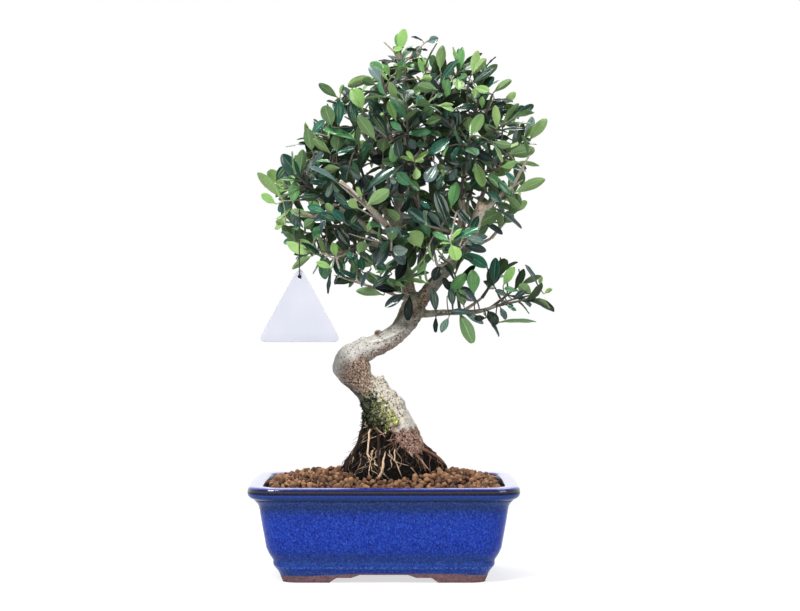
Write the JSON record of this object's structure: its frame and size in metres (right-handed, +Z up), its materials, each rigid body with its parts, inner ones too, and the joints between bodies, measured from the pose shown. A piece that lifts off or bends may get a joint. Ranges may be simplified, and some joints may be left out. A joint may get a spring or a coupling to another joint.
{
  "type": "olive bonsai",
  "caption": "Small olive tree grown as a bonsai with a bent trunk and bared roots, in granular soil in a footed, glazed rectangular pot, with a blank hang tag on a thread.",
  "frame": {"origin": "on the surface that the pot's feet stand on, under the middle of the standing plant's own box, which the hanging tag isn't part of; the middle of the pot's footprint lies 16.5 mm to -X of it", "axes": "+Z up, +X to the right along the pot's long side as its front is seen, -Y towards the front"},
  "size_m": [0.243, 0.1886, 0.4414],
  "materials": {
    "glaze": "gloss",
    "granules": "matte",
    "bark": "matte",
    "foliage": "satin",
    "tag_plastic": "gloss",
    "twine": "matte",
    "screen_mesh": "matte"
  },
  "bodies": {
    "root": {"drain_screen_left": "screen_mesh", "drain_screen_right": "screen_mesh", "pot": "glaze", "shoot_back_1": "foliage", "shoot_back_2": "foliage", "shoot_back_3": "foliage", "shoot_fork_1": "foliage", "shoot_frontRight_1": "foliage", "shoot_frontRight_2": "foliage", "shoot_frontTop_1": "foliage", "shoot_frontTop_2": "foliage", "shoot_front_1": "foliage", "shoot_front_2": "foliage", "shoot_leader_1": "foliage", "shoot_leftBack_1": "foliage", "shoot_leftBack_2": "foliage", "shoot_leftBack_3": "foliage", "shoot_leftCut_1": "foliage", "shoot_leftHigh_1": "foliage", "shoot_leftHigh_2": "foliage", "shoot_leftHigh_3": "foliage", "shoot_leftLow_1": "foliage", "shoot_leftTop_1": "foliage", "shoot_leftTop_2": "foliage", "shoot_left_1": "foliage", "shoot_left_2": "foliage", "shoot_left_3": "foliage", "shoot_lowLeft_1": "foliage", "shoot_lowLeft_2": "foliage", "shoot_lowRightUp_1": "foliage", "shoot_lowRight_1": "foliage", "shoot_lowRight_2": "foliage", "shoot_lowRight_3": "foliage", "shoot_middle_1": "foliage", "shoot_middle_2": "foliage", "shoot_rightBack_1": "foliage", "shoot_rightBack_2": "foliage", "shoot_rightBack_3": "foliage", "shoot_rightLow_1": "foliage", "shoot_rightLow_2": "foliage", "shoot_rightTop_1": "foliage", "shoot_rightTop_2": "foliage", "shoot_rightTop_3": "foliage", "shoot_rightTwig_1": "foliage", "shoot_right_1": "foliage", "shoot_right_2": "foliage", "shoot_right_3": "foliage", "shoot_stem_1": "foliage", "shoot_stem_2": "foliage", "shoot_stem_3": "foliage", "shoot_stem_4": "foliage", "shoot_topBack_1": "foliage", "shoot_topBack_2": "foliage", "shoot_topRight_1": "foliage", "shoot_topRight_2": "foliage", "soil": "granules", "tag": "tag_plastic", "thread": "twine", "thread_knot": "twine", "tree": "bark"}
  },
  "joints": []
}
